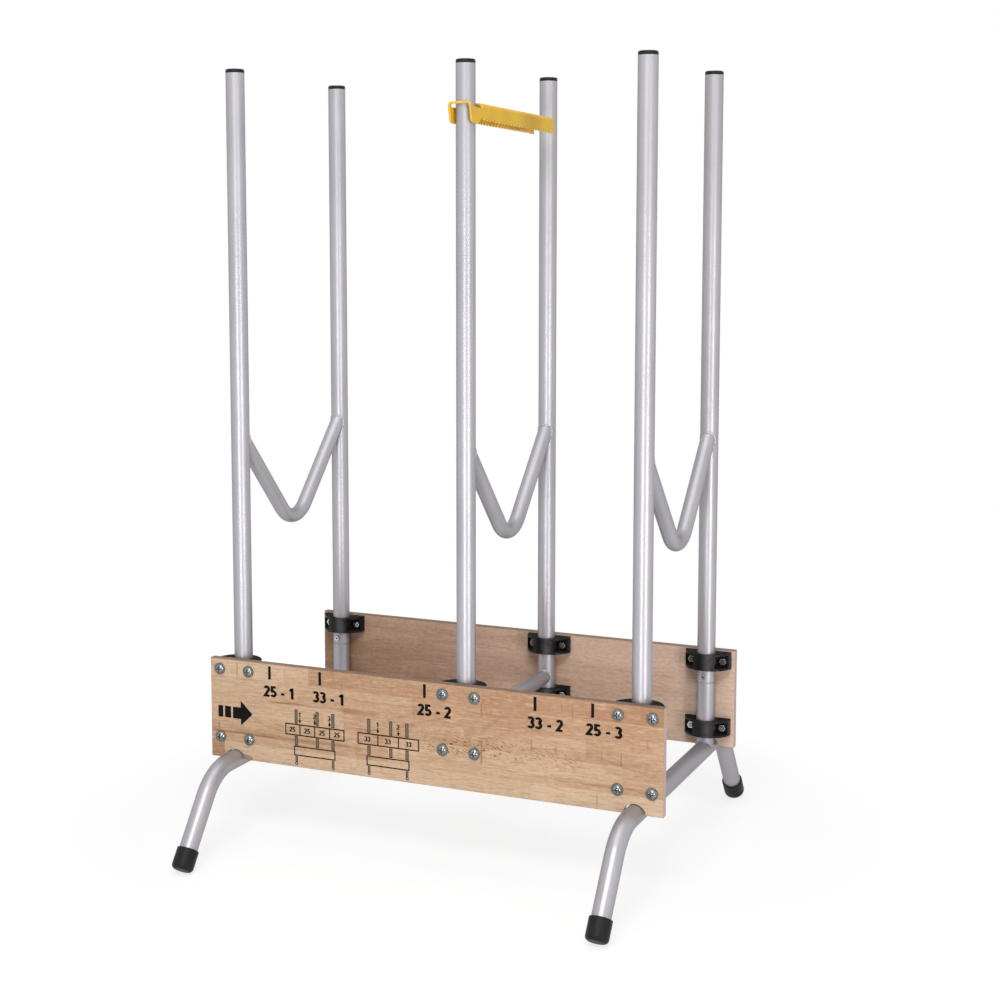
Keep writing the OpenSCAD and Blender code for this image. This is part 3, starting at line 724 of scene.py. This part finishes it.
def ribbon(path, half):
    """A stroke of width 2 * half along path, mitred at its corners."""
    edges = []
    for i, (x, z) in enumerate(path):
        before = Vector(path[max(i - 1, 0)])
        after = Vector(path[min(i + 1, len(path) - 1)])
        here = Vector((x, z))
        come = (here - before).normalized() if i else (after - here).normalized()
        go = (after - here).normalized() if i < len(path) - 1 else come
        across = (Vector((-come.y, come.x)) + Vector((-go.y, go.x))).normalized()
        reach = half / max(0.5, across.dot(Vector((-come.y, come.x))))
        edges.append((here + across * reach, here - across * reach))
    return [[a[0], a[1], b[1], b[0]] for a, b in zip(edges, edges[1:])]


ARC_STEPS = 10


def sweep(x, z, rx, rz, start, end):
    """Points of an arc, in units of a figure's height, angles in degrees."""
    turns = [math.radians(start + (end - start) * i / ARC_STEPS) for i in range(ARC_STEPS + 1)]
    return [(x + rx * math.cos(t), z + rz * math.sin(t)) for t in turns]


# Plain figures as strokes, in units of their height, and the room that each takes
FIGURES = {
    "1": ([[(0.36, 0.0), (0.36, 1.0)], [(0.09, 0.73), (0.33, 0.90)]], 0.66),
    "2": ([sweep(0.29, 0.70, 0.20, 0.205, 165, -32) + [(0.11, 0.095), (0.57, 0.095)]], 0.68),
    "3": ([sweep(0.25, 0.725, 0.21, 0.18, 152, -90), sweep(0.25, 0.30, 0.235, 0.21, 90, -152)], 0.68),
    "5": (
        [[(0.53, 0.905), (0.15, 0.905), (0.13, 0.52)] + sweep(0.265, 0.31, 0.225, 0.215, 118, -150)],
        0.68,
    ),
    "-": ([[(0.0, 0.36), (0.36, 0.36)]], 0.42),
    " ": ([], 0.37),
}
# How many times as thick as level strokes the stems are
STEM = 1.3


def figures(text, x, z, height, stroke):
    """Polygons of a number with its lower left corner at x, z; stroke counts in heights."""
    shapes = []
    for sign in text:
        paths, room = FIGURES[sign]
        for path in paths:
            spots = [(px * height / STEM, pz * height) for px, pz in path]
            for piece in ribbon(spots, stroke * height / 2):
                shapes.append([(x + px * STEM, z + pz) for px, pz in piece])
        x += room * height
    return shapes


# Length marks: the places of the ticks, and the numbers with their lower left corners
TICKS = (-250, -166.7, 0, 166.7, 250)
TICK_HALF = 2.2
TICK_LOW = 252.5
TICK_HIGH = 272.2
NUMBERS = (
    ("25 - 1", -259.6, 226.8),
    ("33 - 1", -177.8, 226.9),
    ("25 - 2", -10.4, 227.2),
    ("33 - 2", 156.3, 227.8),
    ("25 - 3", 240.9, 228.0),
)
NUMBER_HEIGHT = 16.4
NUMBER_STROKE = 0.215
printed("scale_ticks", [box(x - TICK_HALF, TICK_LOW, x + TICK_HALF, TICK_HIGH) for x in TICKS], INK)
for i, (text, left, low) in enumerate(NUMBERS):
    printed(f"scale_number_{i + 1}", figures(text, left, low, NUMBER_HEIGHT, NUMBER_STROKE), INK)

# Arrow: three bars, as left and right ends, and a head
ARROW_LOW = 187.9
ARROW_HIGH = 205.2
ARROW_BARS = ((-338.2, -329.8), (-326.8, -316.2), (-313.2, -299.0))
ARROW_HEAD = [(-299.6, 178.2), (-279.6, 197.0), (-299.6, 215.6)]
arrow = [box(left, ARROW_LOW, right, ARROW_HIGH) for left, right in ARROW_BARS]
printed("scale_arrow", arrow + [ARROW_HEAD], INK)

# Cutting sketches, in millimetres, with x from the left end of the log
SKETCH_LINE = 1.8
LOG_LENGTH = 97.5
LOG_LOW = 174.0
LOG_HIGH = 191.5
CUT_TIP = 192.2
CUT_HEAD = (2.6, 197.4)
CUT_STEM = (0.8, 196.8, 201.0)
CUT_NUMBER = (-2.4, 202.0, 7.0, 0.2)
RAIL = (14.2, 144.2, 82.4, 158.9)
POSTS = (18.3, 53.0, 78.6)
POST_HALF = 2.5
POST_LINE = 1.0
POST_SPANS = ((192.2, 212.7), (159.5, 173.4))
LEGS = (18.3, 78.6)
LEG_HALF = 1.9
LEG_LINE = 0.8
LEG_SPAN = (135.4, 143.6)
FOOT_RING = (132.9, 1.2, 2.5)
PART_NUMBER = (-5.0, 179.0, 7.4, 0.19)


def sketch_bar(lines, greys, x, half, low, high, line):
    """Adds an upright bar with an outline of width line and a grey middle."""
    lines += outline(x - half, low, x + half, high, line)
    greys.append(box(x - half + line, low + line, x + half - line, high - line))


def sketch_number(lines, text, x, number):
    """Adds a number about x, from its shift in x, its lower edge, its height and its stroke."""
    shift, low, height, stroke = number
    lines += figures(text, x + shift, low, height, stroke)


def cut_sketch(name, x0, parts, label):
    """A small sketch of a log on the stand, cut into equal parts."""
    lines = outline(x0, LOG_LOW, x0 + LOG_LENGTH, LOG_HIGH, SKETCH_LINE)
    greys = []
    step = LOG_LENGTH / parts
    line_half = SKETCH_LINE / 2
    head_half, head_z = CUT_HEAD
    stem_half, stem_low, stem_high = CUT_STEM
    for i in range(1, parts):
        cut = x0 + step * i
        lines.append(box(cut - line_half, LOG_LOW + SKETCH_LINE, cut + line_half, LOG_HIGH - SKETCH_LINE))
        lines.append(box(cut - stem_half, stem_low, cut + stem_half, stem_high))
        lines.append([(cut - head_half, head_z), (cut, CUT_TIP), (cut + head_half, head_z)])
        sketch_number(lines, str(i), cut, CUT_NUMBER)
    left, low, right, high = RAIL
    lines += outline(x0 + left, low, x0 + right, high, SKETCH_LINE)
    for post in POSTS:
        for low, high in POST_SPANS:
            sketch_bar(lines, greys, x0 + post, POST_HALF, low, high, POST_LINE)
    for leg in LEGS:
        sketch_bar(lines, greys, x0 + leg, LEG_HALF, *LEG_SPAN, LEG_LINE)
        lines += ring(x0 + leg, *FOOT_RING)
    for i in range(parts):
        sketch_number(lines, label, x0 + step * (i + 0.5), PART_NUMBER)
    printed(name, lines, INK)
    printed(name + "_posts", greys, GREY_INK)


cut_sketch("sketch_quarters", -224.6, 4, "25")
cut_sketch("sketch_thirds", -106.1, 3, "33")


# Floor, background and light
def shown(tree):
    """1 on the rays that show the background: camera, glossy and transmission rays."""
    path = tree.nodes.new("ShaderNodeLightPath")
    value = path.outputs["Is Camera Ray"]
    for name in ("Is Glossy Ray", "Is Transmission Ray"):
        either = tree.nodes.new("ShaderNodeMath")
        either.operation = "MAXIMUM"
        tree.links.new(value, either.inputs[0])
        tree.links.new(path.outputs[name], either.inputs[1])
        value = either.outputs[0]
    return value


# Floor disc in metres, and the strength of its own white near the object and further out
FLOOR_R = 1.2
FLOOR_SIDES = 72
GLOW_NEAR_R = 0.5
GLOW_FAR_R = 1.15
GLOW_NEAR = 0.78
GLOW_FAR = 1.0


def floor_paper():
    """White paper that keeps a soft shadow near the object and is plain white further out."""
    s = Shader("floor_paper")
    s.tree.nodes.remove(s.bsdf)
    lit = s.add("ShaderNodeBsdfDiffuse")
    lit.inputs["Color"].default_value = (0.8, 0.8, 0.8, 1)
    faint = s.add("ShaderNodeBsdfDiffuse")
    faint.inputs["Color"].default_value = (0.3, 0.3, 0.3, 1)
    glow = s.add("ShaderNodeEmission")
    far = s.add("ShaderNodeVectorMath", operation="LENGTH")
    s.join(s.coord.outputs["Object"], far.inputs[0])
    white = s.ramp(far.outputs["Value"], GLOW_NEAR_R, GLOW_FAR_R, GLOW_NEAR, GLOW_FAR)
    s.join(white, glow.inputs["Strength"])
    seen = s.add("ShaderNodeAddShader")
    s.join(faint.outputs["BSDF"], seen.inputs[0])
    s.join(glow.outputs["Emission"], seen.inputs[1])
    both = s.add("ShaderNodeMixShader")
    s.join(shown(s.tree), both.inputs["Fac"])
    s.join(lit.outputs["BSDF"], both.inputs[1])
    s.join(seen.outputs["Shader"], both.inputs[2])
    s.join(both.outputs["Shader"], s.out.inputs["Surface"])
    return s.mat


rim = []
for i in range(FLOOR_SIDES):
    turn = 2 * math.pi * i / FLOOR_SIDES
    rim.append((FLOOR_R * math.cos(turn), FLOOR_R * math.sin(turn), 0))
floor = mesh_object("floor", rim, [tuple(range(FLOOR_SIDES))])
scene.collection.objects.link(floor)
floor.data.materials.append(floor_paper())

# World: white where it shows, soft where it lights
SKY_LIGHT = 0.22
SKY_SHOWN = 1.0
world = bpy.data.worlds.new("studio")
scene.world = world
world.use_nodes = True
sky = world.node_tree
sky.nodes.clear()
sky_out = sky.nodes.new("ShaderNodeOutputWorld")
sky_soft = sky.nodes.new("ShaderNodeBackground")
sky_soft.inputs["Color"].default_value = (1, 1, 1, 1)
sky_soft.inputs["Strength"].default_value = SKY_LIGHT
sky_white = sky.nodes.new("ShaderNodeBackground")
sky_white.inputs["Color"].default_value = (1, 1, 1, 1)
sky_white.inputs["Strength"].default_value = SKY_SHOWN
sky_mix = sky.nodes.new("ShaderNodeMixShader")
sky.links.new(shown(sky), sky_mix.inputs["Fac"])
sky.links.new(sky_soft.outputs["Background"], sky_mix.inputs[1])
sky.links.new(sky_white.outputs["Background"], sky_mix.inputs[2])
sky.links.new(sky_mix.outputs["Shader"], sky_out.inputs["Surface"])

# Two strips that light lines along the tubes and two soft lamps,
# as name, place, aim, width, height and power in watts
LAMPS = (
    ("strip_left", (0.516, -3.259, -0.2), (0, 0, -0.2), 0.4, 2.1, 39),
    ("strip_right", (2.703, -1.893, -0.2), (0, 0, -0.2), 0.4, 2.1, 39),
    ("soft_front", (0.9, -2.7, 3.0), (0, 0, 0.25), 1.8, 1.0, 60),
    ("soft_top", (0.2, -0.3, 3.2), (0, 0, 0.4), 2.4, 2.0, 22),
)
for name, place_at, aim_at, width, height, power in LAMPS:
    light = bpy.data.lights.new(name, "AREA")
    light.shape = "RECTANGLE"
    light.size = width
    light.size_y = height
    light.energy = power
    lamp = bpy.data.objects.new(name, light)
    scene.collection.objects.link(lamp)
    lamp.location = place_at
    lamp.rotation_euler = (Vector(aim_at) - Vector(place_at)).to_track_quat("-Z", "Y").to_euler()

# Camera at the photograph's place, with its tilt below level and its turn in degrees
CAMERA_AT = (1.0237, -2.3075, 0.8960)
CAMERA_TILT = 6.15
CAMERA_TURN = 23.655
camera_data = bpy.data.cameras.new("camera")
camera_data.sensor_width = 36
camera_data.lens = 62.17
camera_data.shift_x = 0.0157
camera_data.shift_y = -0.0787
camera = bpy.data.objects.new("camera", camera_data)
scene.collection.objects.link(camera)
camera.location = CAMERA_AT
camera.rotation_euler = (math.radians(90 - CAMERA_TILT), 0, math.radians(CAMERA_TURN))
scene.camera = camera

scene.view_settings.view_transform = "Standard"
